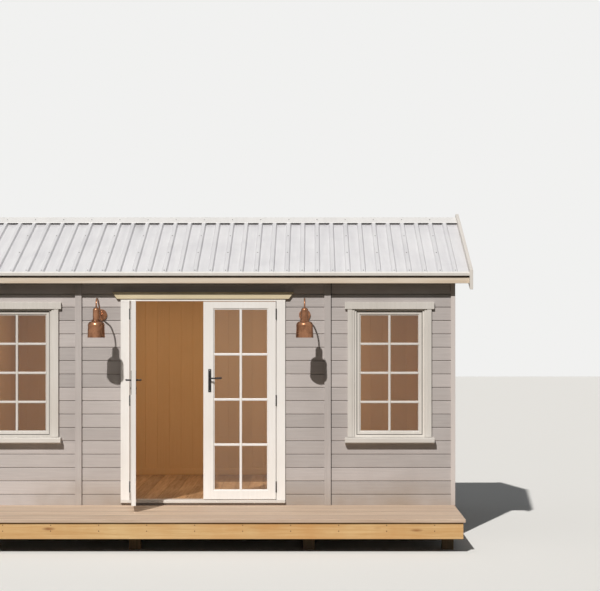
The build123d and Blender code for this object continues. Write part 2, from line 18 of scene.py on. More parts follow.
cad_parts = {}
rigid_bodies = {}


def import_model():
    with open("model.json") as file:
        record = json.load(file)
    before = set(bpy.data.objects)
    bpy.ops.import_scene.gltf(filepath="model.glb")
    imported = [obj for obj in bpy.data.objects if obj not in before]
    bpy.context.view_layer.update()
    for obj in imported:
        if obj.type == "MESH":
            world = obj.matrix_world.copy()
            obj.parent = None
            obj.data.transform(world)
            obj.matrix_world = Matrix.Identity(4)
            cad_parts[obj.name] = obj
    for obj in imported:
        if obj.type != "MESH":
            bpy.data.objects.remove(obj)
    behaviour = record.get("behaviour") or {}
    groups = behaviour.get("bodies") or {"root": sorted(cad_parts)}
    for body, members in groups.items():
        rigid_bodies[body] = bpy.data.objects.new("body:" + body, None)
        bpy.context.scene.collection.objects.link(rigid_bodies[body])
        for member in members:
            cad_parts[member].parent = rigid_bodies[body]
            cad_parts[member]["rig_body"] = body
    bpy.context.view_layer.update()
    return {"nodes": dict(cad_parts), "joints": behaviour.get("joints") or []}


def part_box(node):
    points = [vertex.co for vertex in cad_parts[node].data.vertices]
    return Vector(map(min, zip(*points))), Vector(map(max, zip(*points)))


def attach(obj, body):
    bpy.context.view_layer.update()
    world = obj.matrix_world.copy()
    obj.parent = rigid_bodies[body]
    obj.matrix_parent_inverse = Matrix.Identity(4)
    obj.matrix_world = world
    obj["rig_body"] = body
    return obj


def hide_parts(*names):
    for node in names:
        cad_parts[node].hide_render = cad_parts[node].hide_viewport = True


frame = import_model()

nodes = frame["nodes"]

# %% [markdown]
# ## Places
# A number that is copied by hand goes wrong when the cabin changes. So the places that several pieces share
# are measured once on the loaded model, and all that follows is worked out from them.
# X runs along the front, Y runs from the deck to the back, and Z is up. One unit is a metre.

# %% Measure the cabin
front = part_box("front_wall_right")[0].y
room_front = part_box("front_wall_right")[1].y
room_back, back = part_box("back_wall")[0].y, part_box("back_wall")[1].y
room_half, house_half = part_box("gable_wall_right")[0].x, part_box("gable_wall_right")[1].x
deck_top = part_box("deck_boards")[1].z
floor_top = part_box("floor_boards")[1].z
middle = (front + back) / 2
lining_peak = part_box("gable_wall_right")[1].z
slope = (lining_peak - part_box("front_wall_right")[1].z) / (middle - room_front)
pitch = atan2(slope, 1)
print(f"house {2 * house_half:.3f} m wide, {back - front:.3f} m deep, pitch {pitch * 180 / pi:.1f} degrees")


def lining_under(y):
    """Height of the underside of the roof boards."""
    return lining_peak - slope * abs(y - middle)


# %% [markdown]
# ## Camera
# The picture was taken level, from a good way off and a little to the right of the doorway, because the roof
# and deck edges are level and only lines that run away from us meet. A long lens from 20 m gives that.
# The lens is shifted a little in place of a tilt, as an architect's camera does, so uprights stay upright.

# %% Camera
eye_right_of_door = 1.10
eye_height = deck_top + 1.83
eye_distance = 20.0
camera_data = bpy.data.cameras.new("camera")
camera_data.lens = 118.8
camera_data.shift_x = -0.02
camera_data.shift_y = 0.0475
camera = bpy.data.objects.new("camera", camera_data)
camera.location = (eye_right_of_door, front - eye_distance, eye_height)
camera.rotation_euler = (radians(90), 0, 0)
bpy.context.scene.collection.objects.link(camera)
bpy.context.scene.camera = camera
print("camera at", tuple(round(v, 3) for v in camera.location))

# %% [markdown]
# ## What the camera, metal and glass see
# A studio should look pale without lighting the cabin like a snow field. The trick is to ask each ray what it
# is: one from the camera, or one that metal mirrors or glass lets through, sees pale surroundings, and the
# rays that only carry light get a far weaker sky and a darker ground. The sky and the floor both use this.

# %% A switch between seen and lit
def seen_or_mirrored(tree):
    """1 for a ray from the camera, or one that metal mirrors or glass lets through, and 0 for the rest."""
    path = tree.nodes.new("ShaderNodeLightPath")
    total = path.outputs["Is Camera Ray"]
    for kind in ("Is Glossy Ray", "Is Transmission Ray"):
        both = tree.nodes.new("ShaderNodeMath")
        both.use_clamp = True
        tree.links.new(total, both.inputs[0])
        tree.links.new(path.outputs[kind], both.inputs[1])
        total = both.outputs[0]
    return total


print("pale surroundings are for the eye and for mirrors only")

# %% [markdown]
# ## Light
# The sun stands to the front left, about 40 degrees up: the eave's shadow on the wall and the lamp's shadow
# beside it both say so. The sky fills the shadows. Their strengths are set so that a wall in full light
# renders about as its colour is written, and the pale roof doesn't clip.
# The room is lit too: a broad warm light hangs under the ridge, and shows the lining through the open door.

# %% Sun
sun_fall = 0.85
sun_drift = 0.30


def hung_light(name, data):
    """Puts a light into the scene."""
    light = bpy.data.objects.new(name, data)
    bpy.context.scene.collection.objects.link(light)
    return light


sun_data = bpy.data.lights.new("sun", "SUN")
sun_data.energy = 3.7
sun_data.angle = radians(0.9)
sun_data.color = (1.0, 0.975, 0.94)
sun_ray = Vector((sun_drift, 1, -sun_fall))
hung_light("sun", sun_data).rotation_euler = sun_ray.to_track_quat("-Z", "Y").to_euler()
print("the sun shines along", tuple(sun_ray))

# %% Room light
room_light_drop = 0.45
room_light_data = bpy.data.lights.new("room_light", "AREA")
room_light_data.shape = "RECTANGLE"
room_light_data.size = 3.6
room_light_data.size_y = 1.6
room_light_data.energy = 36
room_light_data.color = (1.0, 0.88, 0.74)
hung_light("room_light", room_light_data).location = (0, middle, lining_peak - room_light_drop)
print("room light", room_light_drop, "m under the peak of the lining")

# %% Sky
world = bpy.data.worlds.new("studio")
world.use_nodes = True
bpy.context.scene.world = world
sky = world.node_tree
sky_light = sky.nodes["Background"]
sky_light.inputs["Color"].default_value = (0.90, 0.95, 1.0, 1)
sky_light.inputs["Strength"].default_value = 0.09
sky_seen = sky.nodes.new("ShaderNodeBackground")
sky_seen.inputs["Color"].default_value = (0.88, 0.88, 0.87, 1)
sky_seen.inputs["Strength"].default_value = 1.0
sky_mix = sky.nodes.new("ShaderNodeMixShader")
sky.links.new(seen_or_mirrored(sky), sky_mix.inputs["Fac"])
sky.links.new(sky_light.outputs[0], sky_mix.inputs[1])
sky.links.new(sky_seen.outputs[0], sky_mix.inputs[2])
sky.links.new(sky_mix.outputs[0], sky.nodes["World Output"].inputs["Surface"])
print("sun", sun_data.energy, "sky", round(sky_light.inputs["Strength"].default_value, 3))

# %% [markdown]
# ## Small helpers for finishes
# A finish is a few nodes: where on the piece we are, a pattern there, and a colour, roughness and bump from
# it. These helpers keep each recipe down to the lines that say something about the material.
# Colours are written as they look on a screen, from 0 to 255, and turned into the light values that the
# shader wants. Each board was given a tone when it was laid, so that a recipe can shade whole boards.

# %% Helpers for colours and nodes
def screen_colour(red, green, blue):
    """A colour written as 0 to 255 on a screen, as the shader's linear colour."""
    shares = (red / 255, green / 255, blue / 255)
    return (*(s / 12.92 if s <= 0.04045 else ((s + 0.055) / 1.055) ** 2.4 for s in shares), 1.0)


def new_finish(name):
    """A new material, with its node tree and its main shader."""
    material = bpy.data.materials.new(f"{name}_finish")
    material.use_nodes = True
    return material, material.node_tree, material.node_tree.nodes["Principled BSDF"]


def add_node(tree, kind, inputs=(), **settings):
    """Adds a node, changes its settings, and feeds its inputs with values or with other nodes' sockets."""
    made = tree.nodes.new(kind)
    for key, value in settings.items():
        setattr(made, key, value)
    for key, value in dict(inputs).items():
        if isinstance(value, bpy.types.NodeSocket):
            tree.links.new(value, made.inputs[key])
        else:
            made.inputs[key].default_value = value
    return made


print("a mid grey reads", tuple(round(v, 3) for v in screen_colour(128, 128, 128)[:3]))


# %% Helpers for patterns
def own_place(tree, stretch=(1, 1, 1)):
    """Position on the piece, stretched so that a pattern runs along the low numbers."""
    place = add_node(tree, "ShaderNodeTexCoord").outputs["Object"]
    return add_node(tree, "ShaderNodeMapping", {"Vector": place, "Scale": stretch}).outputs[0]


def cloud(tree, place, scale, detail=4.0, rough=0.55, twist=0.0):
    """Soft noise from 0 to 1."""
    inputs = {"Vector": place, "Scale": scale, "Detail": detail, "Roughness": rough, "Distortion": twist}
    return add_node(tree, "ShaderNodeTexNoise", inputs).outputs["Fac"]


def between(tree, value, low, high, out_low=0.0, out_high=1.0):
    """Stretches the part of a pattern between low and high to new limits."""
    inputs = {"Value": value, "From Min": low, "From Max": high, "To Min": out_low, "To Max": out_high}
    return add_node(tree, "ShaderNodeMapRange", inputs).outputs[0]


def times(tree, first, second):
    """Two values multiplied."""
    return add_node(tree, "ShaderNodeMath", {0: first, 1: second}, operation="MULTIPLY").outputs[0]


def mixed(tree, share, first, second, way="MIX"):
    """Two colours mixed by a share from 0 to 1."""
    inputs = {0: share, 6: first, 7: second}
    return add_node(tree, "ShaderNodeMix", inputs, data_type="RGBA", blend_type=way).outputs[2]


def toned(tree, colour, darkest, palest):
    """A colour that each board's own tone makes darker or paler."""
    tone = add_node(tree, "ShaderNodeAttribute", attribute_name="tone").outputs["Fac"]
    share = between(tree, tone, -1.0, 1.0, darkest, palest)
    grey = add_node(tree, "ShaderNodeCombineColor", {0: share, 1: share, 2: share}).outputs[0]
    return mixed(tree, 1.0, colour, grey, "MULTIPLY")


def relief(tree, height, depth, strength=1.0):
    """A bump of the given depth in metres."""
    inputs = {"Height": height, "Distance": depth, "Strength": strength}
    return add_node(tree, "ShaderNodeBump", inputs).outputs[0]


def coat(tree, shader, colour, roughness, bump):
    """Feeds a finish's colour, roughness and bump to its shader."""
    tree.links.new(colour, shader.inputs["Base Color"])
    tree.links.new(roughness, shader.inputs["Roughness"])
    tree.links.new(bump, shader.inputs["Normal"])


print("patterns are worked out from each piece's own place")

# %% [markdown]
# ## Painted timber
# Paint on sawn boards isn't flat: it follows the fibres underneath, it is a little worn and dusty, and no
# two boards take it quite alike. The fibres are noise that is stretched along the board, which is cheaper
# and more lively than drawing single lines. The same recipe makes the grey walls and the white trim.

# %% Painted timber
ALONG_WALL = (1.0, 1.0, 26.0)
UPRIGHT = (26.0, 26.0, 0.9)
splash_start, splash_end = deck_top - 0.02, deck_top + 0.30


def painted_timber(name, colour, worn, stretch, fibre_share=0.35, roughness=(0.42, 0.62),
                   splash=None, spread=0.14):
    """Paint over sawn fibres, worn in patches, and dirty just above the deck where splash is a colour."""
    material, tree, shader = new_finish(name)
    colour, worn = screen_colour(*colour), screen_colour(*worn)
    place = own_place(tree)
    fibres = cloud(tree, own_place(tree, stretch), 2.6, detail=6.0, rough=0.62, twist=0.25)
    patches = cloud(tree, place, 1.4, detail=3.0)
    base = mixed(tree, between(tree, fibres, 0.35, 0.72, 0.0, fibre_share), colour, worn)
    base = mixed(tree, between(tree, patches, 0.42, 0.72, 0.0, 0.35), base, worn)
    base = toned(tree, base, 1.0 - spread, 1.0 + spread)
    if splash:
        height = add_node(tree, "ShaderNodeSeparateXYZ", {0: place}).outputs["Z"]
        wet = between(tree, height, splash_start, splash_end, 1.0, 0.0)
        base = mixed(tree, times(tree, wet, between(tree, patches, 0.3, 0.65)), base, screen_colour(*splash))
    coat(tree, shader, base, between(tree, fibres, 0.3, 0.75, *roughness), relief(tree, fibres, 0.0022, 0.55))
    shader.inputs["Specular IOR Level"].default_value = 0.3
    return material


print("splash reaches", round(splash_end - deck_top, 2), "m above the deck")

# %% Mix the paints
wall_colour, wall_worn, wall_splash = (184, 177, 174), (154, 145, 141), (150, 136, 122)
white_colour, white_worn = (234, 231, 228), (212, 206, 198)
trim_colour, trim_worn = (212, 207, 201), (182, 175, 165)
wall_paint = painted_timber("wall_paint", wall_colour, wall_worn, ALONG_WALL, splash=wall_splash)
strip_paint = painted_timber("strip_paint", wall_colour, wall_worn, UPRIGHT, splash=wall_splash)
# The corner boards take a paler copy of the wall paint: a painted highlight where the sun catches them.
corner_paint = painted_timber("corner_paint", (194, 185, 180), wall_colour, UPRIGHT, splash=wall_splash)
white_paint = painted_timber("white_paint", white_colour, white_worn, UPRIGHT, 0.25, (0.32, 0.5))
white_level = painted_timber("white_level", white_colour, white_worn, ALONG_WALL, 0.25, (0.32, 0.5))
trim_paint = painted_timber("trim_paint", trim_colour, trim_worn, UPRIGHT, 0.3, (0.36, 0.55))
trim_level = painted_timber("trim_level", trim_colour, trim_worn, ALONG_WALL, 0.3, (0.36, 0.55))
lintel_paint = painted_timber("lintel_paint", (208, 194, 164), (188, 172, 138), ALONG_WALL)
lining_paint = painted_timber("lining_paint", (217, 175, 122), (204, 161, 108), UPRIGHT, spread=0.035)
print("painted finishes:", [m.name for m in (wall_paint, strip_paint, white_paint, trim_paint, lining_paint)])

# %% [markdown]
# ## Bare timber
# Sawn pine shows rings as long streaks, darker late wood between pale early wood, and now and then a knot.
# Streaks come from noise squeezed across the board, and knots from cells of which only a few are kept.
# Rain and feet turn a deck grey and open its grain, so one recipe takes all of this as numbers.

# %% Bare timber
ALONG_X = (0.8, 20.0, 20.0)
ALONG_Y = (20.0, 0.8, 20.0)
ALONG_Z = (20.0, 20.0, 0.8)
THROUGH, ACROSS, ALONG = 0.4, 9.0, 2.4


def knot_spots(tree, stretch, share, through):
    """1 at the heart of a few cells and 0 elsewhere. through is the axis of the board's thickness."""
    crowding = [THROUGH if axis == through else min(s, ACROSS) if s > 1 else ALONG
                for axis, s in enumerate(stretch)]
    inputs = {"Vector": own_place(tree, crowding), "Scale": 0.95, "Randomness": 1.0}
    cells = add_node(tree, "ShaderNodeTexVoronoi", inputs)
    lot = add_node(tree, "ShaderNodeSeparateColor", {0: cells.outputs["Color"]}).outputs[0]
    kept = between(tree, lot, 1.0 - share, 1.0 - share + 0.02)
    return times(tree, kept, between(tree, cells.outputs["Distance"], 0.05, 0.17, 1.0, 0.0))


def bare_timber(name, pale, dark, stretch, knots=0.0, through=1, weather=None, roughness=(0.55, 0.8),
                grain=0.75):
    """Sawn timber with streaks and broad rings along the board, and knots and weathered patches if asked."""
    material, tree, shader = new_finish(name)
    pale, dark = screen_colour(*pale), screen_colour(*dark)
    place = own_place(tree)
    streaks = cloud(tree, own_place(tree, stretch), 2.2, detail=8.0, rough=0.66, twist=0.7)
    rings = cloud(tree, own_place(tree, [s * 0.35 for s in stretch]), 1.6, detail=2.0, twist=1.6)
    base = mixed(tree, between(tree, streaks, 0.36, 0.68, 0.0, grain), pale, dark)
    base = mixed(tree, between(tree, rings, 0.45, 0.7, 0.0, 0.45), base, dark)
    base = toned(tree, base, 0.80, 1.16)
    if knots:
        base = mixed(tree, knot_spots(tree, stretch, knots, through), base, screen_colour(112, 66, 34))
    if weather:
        patches = cloud(tree, place, 1.1, detail=5.0, rough=0.6)
        base = mixed(tree, between(tree, patches, 0.38, 0.68, 0.0, 0.75), base, screen_colour(*weather))
    coat(tree, shader, base, between(tree, streaks, 0.3, 0.7, *roughness), relief(tree, streaks, 0.003, 0.6))
    return material


print("a knot's cell is", THROUGH, "through the board,", ACROSS, "across it and", ALONG, "along it")

# %% Choose the timbers
new_pine, new_pine_dark = (225, 193, 140), (184, 138, 82)
new_pine_ways = {"knots": 0.4, "weather": (198, 142, 80), "grain": 0.65}
rough_pine, rough_pine_dark = (164, 130, 92), (110, 82, 56)
deck_timber = bare_timber("deck_timber", (222, 200, 176), (166, 136, 112), ALONG_X, weather=(196, 172, 152))
deck_side_timber = bare_timber("deck_side_timber", new_pine, new_pine_dark, ALONG_X, **new_pine_ways)
deck_end_timber = bare_timber("deck_end_timber", new_pine, new_pine_dark, ALONG_Y, through=0,
                              **new_pine_ways)
floor_timber = bare_timber("floor_timber", (186, 146, 104), (134, 94, 60), ALONG_Y, roughness=(0.35, 0.55))
fascia_timber = bare_timber("fascia_timber", (230, 216, 198), (204, 180, 152), ALONG_X, knots=0.12, grain=0.4)
# The roof boards' timber is a dark grey brown: painted shade for the undersides of the eaves, and the same
# boards line the ceiling inside.
soffit_timber = bare_timber("soffit_timber", (126, 112, 100), (92, 80, 70), ALONG_X)
beam_timber = bare_timber("beam_timber", (210, 166, 112), (164, 116, 70), ALONG_X)
post_timber = bare_timber("post_timber", (172, 136, 96), (112, 82, 54), ALONG_Z, weather=(122, 108, 88))
frame_timber = bare_timber("frame_timber", rough_pine, rough_pine_dark, ALONG_X)
joist_timber = bare_timber("joist_timber", rough_pine, rough_pine_dark, ALONG_Y)
print("timber finishes:", deck_timber.name, deck_side_timber.name, floor_timber.name, soffit_timber.name)

# %% [markdown]
# ## Metal and glass
# The roof is coated steel: almost white, a little chalky, with faint streaks where rain runs down the slope.
# The lamps are old copper, browner in patches. The door furniture is black, and slightly worn.
# The glass is clear with a warm tint, so a plain shader with full transmission is enough, with a little dust.

# %% Recipes for metal and glass
def coated_steel(name, colour, dust, rough):
    """Painted sheet steel with dusty streaks that run down the slope."""
    material, tree, shader = new_finish(name)
    colour, dust = screen_colour(*colour), screen_colour(*dust)
    runs = cloud(tree, own_place(tree, (9.0, 0.7, 0.7)), 1.5, detail=5.0, rough=0.6)
    patches = cloud(tree, own_place(tree), 1.7, detail=4.0)
    base = mixed(tree, between(tree, runs, 0.42, 0.75, 0.0, 0.55), colour, dust)
    base = mixed(tree, between(tree, patches, 0.45, 0.7, 0.0, 0.4), base, dust)
    coat(tree, shader, base, between(tree, patches, 0.3, 0.7, *rough), relief(tree, patches, 0.0015, 0.4))
    shader.inputs["Metallic"].default_value = 0.15
    return material


def worn_metal(name, colour, deep, rough, metallic):
    """Small hard parts: two tones in patches, and a fine unevenness."""
    material, tree, shader = new_finish(name)
    patches = cloud(tree, own_place(tree), 14.0, detail=6.0, rough=0.6)
    fine = cloud(tree, own_place(tree), 90.0, detail=3.0)
    share = between(tree, patches, 0.38, 0.7, 0.0, 0.8)
    base = mixed(tree, share, screen_colour(*colour), screen_colour(*deep))
    coat(tree, shader, base, between(tree, patches, 0.3, 0.7, *rough), relief(tree, fine, 0.0004, 0.35))
    shader.inputs["Metallic"].default_value = metallic
    return material


def clear_glass(name):
    """Glass with a warm tint and a trace of dust."""
    material, tree, shader = new_finish(name)
    shader.inputs["Base Color"].default_value = (0.86, 0.85, 0.81, 1)
    shader.inputs["Transmission Weight"].default_value = 1.0
    shader.inputs["IOR"].default_value = 1.45
    dust = cloud(tree, own_place(tree), 6.0, detail=5.0)
    tree.links.new(between(tree, dust, 0.35, 0.8, 0.0, 0.05), shader.inputs["Roughness"])
    return material


def frosted_glass(name):
    """The milky glass of a bulb."""
    material, tree, shader = new_finish(name)
    dust = cloud(tree, own_place(tree), 30.0)
    tint = mixed(tree, dust, screen_colour(238, 232, 220), screen_colour(222, 214, 198))
    tree.links.new(tint, shader.inputs["Base Color"])
    shader.inputs["Roughness"].default_value = 0.3
    return material


print("four recipes for metal and glass")

# %% Choose the metals and glass
roof_steel = coated_steel("roof_steel", (222, 221, 223), (199, 198, 202), (0.38, 0.55))
cap_steel = coated_steel("cap_steel", (230, 228, 226), (212, 210, 208), (0.36, 0.5))
eave_steel = coated_steel("eave_steel", (238, 234, 228), (227, 222, 215), (0.36, 0.5))
copper = worn_metal("copper", (166, 118, 88), (88, 59, 43), (0.20, 0.40), 0.92)
black_metal = worn_metal("black_metal", (34, 33, 34), (22, 21, 21), (0.32, 0.5), 0.5)
rusty_steel = worn_metal("rusty_steel", (120, 80, 52), (70, 46, 32), (0.5, 0.7), 0.4)
zinc = worn_metal("zinc", (176, 176, 176), (132, 130, 128), (0.35, 0.55), 0.8)
# A dark rubber-like finish, used for the painted shadow lines round the sashes.
seal_rubber = worn_metal("seal_rubber", (66, 59, 51), (48, 43, 37), (0.6, 0.8), 0.0)
glass = clear_glass("glass")
frosted = frosted_glass("frosted")
print("metal and glass:", roof_steel.name, copper.name, black_metal.name, zinc.name, glass.name)

# %% [markdown]
# ## Small helpers for pieces
# Every piece is a mesh whose points are already in place, so its object stays at the origin and can ride on
# a body of the cabin. A piece either replaces a plain node of the frame, or is added to it.
# `finished` does the bookkeeping in one place: the finish, the body and the nodes it stands for.
# A board's tone is kept on its faces in a layer. The layer is made before faces are held, because making it
# later would lose hold of them.

# %% A helper that finishes a piece
merge_reach = 0.00002


def finished(maker, name, material, body="house", instead=(), round_under=0):
    """Turns a bmesh into a piece that rides on a body, and may stand for nodes of the frame."""
    bmesh.ops.dissolve_degenerate(maker, dist=merge_reach, edges=maker.edges)
    bmesh.ops.recalc_face_normals(maker, faces=maker.faces)
    mesh = bpy.data.meshes.new(name)
    maker.to_mesh(mesh)
    maker.free()
    mesh.materials.append(material)
    if round_under:
        mesh.polygons.foreach_set("use_smooth", [True] * len(mesh.polygons))
        mesh.set_sharp_from_angle(angle=radians(round_under))
    piece = bpy.data.objects.new(name, mesh)
    bpy.context.scene.collection.objects.link(piece)
    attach(piece, body)
    if instead:
        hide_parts(*instead)
    return piece


print("a piece's points closer than", merge_reach, "m are joined")


# %% Helpers that add boards
def tone_layer(maker):
    """The layer that keeps each board's tone."""
    return maker.faces.layers.float.get("tone") or maker.faces.layers.float.new("tone")


def faces_so_far(maker):
    """The faces made so far, with the tone layer in place first."""
    tone_layer(maker)
    return set(maker.faces)


def give_tone(maker, before, tone=0.0):
    """Gives one tone to all faces that were added since then, and returns them."""
    layer = tone_layer(maker)
    made = [f for f in maker.faces if f not in before]
    for face in made:
        face[layer] = tone
    return made


def ease(maker, edges, by, segments=2, clamp=False):
    """Takes some edges off, flat with one segment and round with more."""
    bmesh.ops.bevel(maker, geom=edges, offset=by, offset_type="OFFSET", affect="EDGES", segments=segments,
                    profile=0.5, material=-1, clamp_overlap=clamp)


def add_block(maker, low, high, tone=0.0, round_by=0.0, segments=2):
    """Adds a board with its lowest and highest corner, edges rounded, and returns its faces."""
    before = faces_so_far(maker)
    sizes = [h - l for l, h in zip(low, high)]
    place = Matrix.Translation([(l + h) / 2 for l, h in zip(low, high)]) @ Matrix.Diagonal((*sizes, 1))
    made = bmesh.ops.create_cube(maker, size=1.0, matrix=place)
    if round_by:
        edges = dict.fromkeys(e for v in made["verts"] for e in v.link_edges)
        ease(maker, list(edges), round_by, segments)
    return give_tone(maker, before, tone)


print("boards are cubes, moved and sized by one matrix")

# %% Helpers that copy the frame
flat_angle = 0.5
solid_tone = 0.8


def merged_copy(node):
    """A copy of a frame node's mesh with its loose triangles joined."""
    maker = bmesh.new()
    maker.from_mesh(nodes[node].data)
    bmesh.ops.remove_doubles(maker, verts=maker.verts, dist=merge_reach)
    return maker


def solids_in(maker):
    """The separate solids of a mesh as lists of faces, in the order of their lowest face number."""
    left = dict.fromkeys(maker.faces)
    solids = []
    while left:
        solid = [min(left, key=lambda f: f.index)]
        del left[solid[0]]
        for face in solid:
            for near in (n for e in face.edges for n in e.link_faces):
                if near in left:
                    del left[near]
                    solid.append(near)
        solids.append(solid)
    return solids


def softened(node, name, material, by=0.002, seed=0, sharp=25, round_under=0):
    """A copy of a frame node with worn edges, each solid with its own tone, that stands for the node."""
    maker = merged_copy(node)
    bmesh.ops.dissolve_limit(maker, angle_limit=radians(flat_angle), verts=maker.verts, edges=maker.edges)
    bmesh.ops.recalc_face_normals(maker, faces=maker.faces)
    if by:
        edges = [e for e in maker.edges if len(e.link_faces) == 2 and e.calc_face_angle(0) > radians(sharp)
                 and e.is_convex]
        ease(maker, edges, by, clamp=True)
    layer = tone_layer(maker)
    chance = random.Random(seed)
    for solid in solids_in(maker):
        tone = chance.uniform(-solid_tone, solid_tone)
        for face in solid:
            face[layer] = tone
    return finished(maker, name, material, nodes[node]["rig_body"], [node], round_under)


def middles_of(node, axis):
    """The middles of a node's separate bars along one axis."""
    maker = merged_copy(node)
    spans = [[v.co[axis] for f in solid for v in f.verts] for solid in solids_in(maker)]
    maker.free()
    return sorted({round((min(span) + max(span)) / 2, 4) for span in spans})


print("house floor joists at", middles_of("floor_joists", 0))

# %% [markdown]
# ## Board walls
# The frame's walls are plain slabs. Real ones are boards nailed to studs and lined inside, and from the
# picture the boards lie level, 135 mm apart, with a dark V between them. So each slab is copied as a core
# with its faces drawn in a little, and boards are laid on it up to the slab's own face. Nothing gets
# thicker, so doors and trims still fit. Modelled boards catch the low sun along each edge, which a painted
# line can't do.
# Boards that meet a window are split round its opening, and the tops are cut to the slope of the roof.

# %% A way to lay boards
smallest_piece = 0.002
smallest_board = 0.004
same_face = 0.0005
parallel = 0.99


def split_round(start, end, low, high, hole):
    """The rectangles that are left of a board (start to end, low to high) round a hole."""
    if high <= hole[2] or low >= hole[3] or end <= hole[0] or start >= hole[1]:
        return [(start, end, low, high)]
    left = [(start, hole[0], low, high), (hole[1], end, low, high)]
    if low < hole[2]:
        left.append((hole[0], hole[1], low, hole[2]))
    if high > hole[3]:
        left.append((hole[0], hole[1], hole[3], high))
    return [p for p in left if p[1] - p[0] > smallest_piece and p[3] - p[2] > smallest_piece]


def v_edges(maker, faces, run, outward, by):
    """Takes the long outer edges off a board, which makes half of each V groove."""
    centre = sum((f.calc_center_median() for f in faces), Vector()) / len(faces)
    edges = []
    for edge in dict.fromkeys(e for f in faces for e in f.edges):
        a, b = (v.co for v in edge.verts)
        if abs((b - a).normalized()[run]) > parallel and ((a + b) / 2 - centre).dot(outward) > 0:
            edges.append(edge)
    ease(maker, edges, by, segments=1)


def under_roof(maker, before, tone):
    """Cuts what was added since then to the underside of the roof."""
    for way in (-1, 1):
        made = [f for f in maker.faces if f not in before]
        if not made or max(v.co.z for f in made for v in f.verts) <= lining_under(front):
            continue
        geometry = dict.fromkeys(part for f in made for part in (f, *f.edges, *f.verts))
        up = Vector((0, way * slope, 1)).normalized()
        cut = bmesh.ops.bisect_plane(maker, geom=list(geometry), plane_co=(0, middle, lining_peak),
                                     plane_no=up, clear_outer=True)
        rim = [g for g in cut["geom_cut"] if isinstance(g, bmesh.types.BMEdge)]
        bmesh.ops.holes_fill(maker, edges=rim, sides=0)
    give_tone(maker, before, tone)


def lay_boards(maker, box, facing, run, spacing, first, skin, groove, chance, holes=(), gap=0.0):
    """Covers one face of a wall's box with boards along the run axis, with their skin inside the box."""
    low, high = box
    across = [abs(v) for v in facing].index(1)
    stack = 3 - across - run
    side = facing[across]
    face_at = high[across] if side > 0 else low[across]
    edge = first
    while edge < high[stack]:
        lower, upper = max(edge, low[stack]), min(edge + spacing - gap, high[stack])
        if upper - lower > smallest_board:
            tone = chance.uniform(-1, 1)
            before = faces_so_far(maker)
            pieces = [(low[run], high[run], lower, upper)]
            for hole in holes:
                pieces = [left for piece in pieces for left in split_round(*piece, hole)]
            for piece in pieces:
                a, b = Vector(), Vector()
                a[run], b[run], a[stack], b[stack] = piece
                a[across], b[across] = sorted((face_at, face_at - side * skin))
                v_edges(maker, add_block(maker, a, b, tone), run, Vector(facing), groove)
            under_roof(maker, before, tone)
        edge += spacing


def drawn_in(node, material, moves):
    """A wall's core: a copy of the slab with some of its faces moved. moves are (axis, from, to)."""
    maker = merged_copy(node)
    for axis, start, end in moves:
        for vert in maker.verts:
            if abs(vert.co[axis] - start) < same_face:
                vert.co[axis] = end
    return finished(maker, f"core_{node}", material, "house", [node])


print("boards under", smallest_board, "m are left out")

# %% Sizes of the boards
board_pitch = 0.135
board_skin = 0.016
board_groove = 0.006
board_gap = 0.0025
joint_over_deck = 0.109
first_board = deck_top + joint_over_deck - 2 * board_pitch
strip_gap = 0.007
lining_skin = 0.012
core_overlap = 0.002
core_gap = 0.010
lining_gap = lining_skin - core_overlap
wall_chance = random.Random(11)
# The cores are painted near black: painted shade that shows in the grooves between the boards and in the gap
# beside the right cover strip.
core_paint = painted_timber("core_paint", (52, 47, 44), (38, 34, 32), ALONG_WALL)
print("first joint", joint_over_deck, "m above the deck, then one every", board_pitch, "m")

# %% Openings in the walls
side_walls = (("left", -1), ("right", 1))
window_holes = {}
for side, way in side_walls:
    low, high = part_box(f"window_frame_{side}")
    window_holes[f"front_wall_{side}"] = [(low.x, high.x, low.z, high.z)]
# The gap beside the right cover strip shows the near-black core as a painted shadow of the strip.
strip_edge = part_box("cover_strips")[1].x
gap_holes = {"front_wall_right": [(strip_edge, strip_edge + strip_gap, 0, lining_peak)]}
print("boards go round", len(window_holes), "windows")

# %% Lay boards on the walls
front_walls = [f"front_wall_{place}" for place in ("left", "right", "over_door", "below_door")]
outer_faces = [(node, (0, -1, 0), 0) for node in front_walls]
outer_faces += [("back_wall", (0, 1, 0), 0)]
outer_faces += [(f"gable_wall_{side}", (way, 0, 0), 1) for side, way in side_walls]
for node, facing, run in outer_faces:
    low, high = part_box(node)
    across = 1 - run
    side = facing[across]
    outer, inner = (high[across], low[across]) if side > 0 else (low[across], high[across])
    moves = [(across, outer, outer - side * core_gap), (across, inner, inner + side * lining_gap)]
    if across == 1:
        moves += [(0, way * house_half, way * (house_half - core_gap)) for name, way in side_walls]
    drawn_in(node, core_paint, moves)
    boards = bmesh.new()
    holes = window_holes.get(node, []) + gap_holes.get(node, [])
    lay_boards(boards, (low, high), facing, run, board_pitch, first_board, board_skin, board_groove,
               wall_chance, holes, board_gap)
    finished(boards, f"boards_{node}", wall_paint)
print("boards laid on", len(outer_faces), "walls, up to", round(lining_peak, 3))

# %% [markdown]
# ## Corners
# Boards show their sawn ends at a corner, and a real wall closes them with an upright board. Here the front
# and back walls run out to the corner, so four upright boards close their ends. They fill the room that the
# drawn-in cores left, and are cut to the roof like the rest.

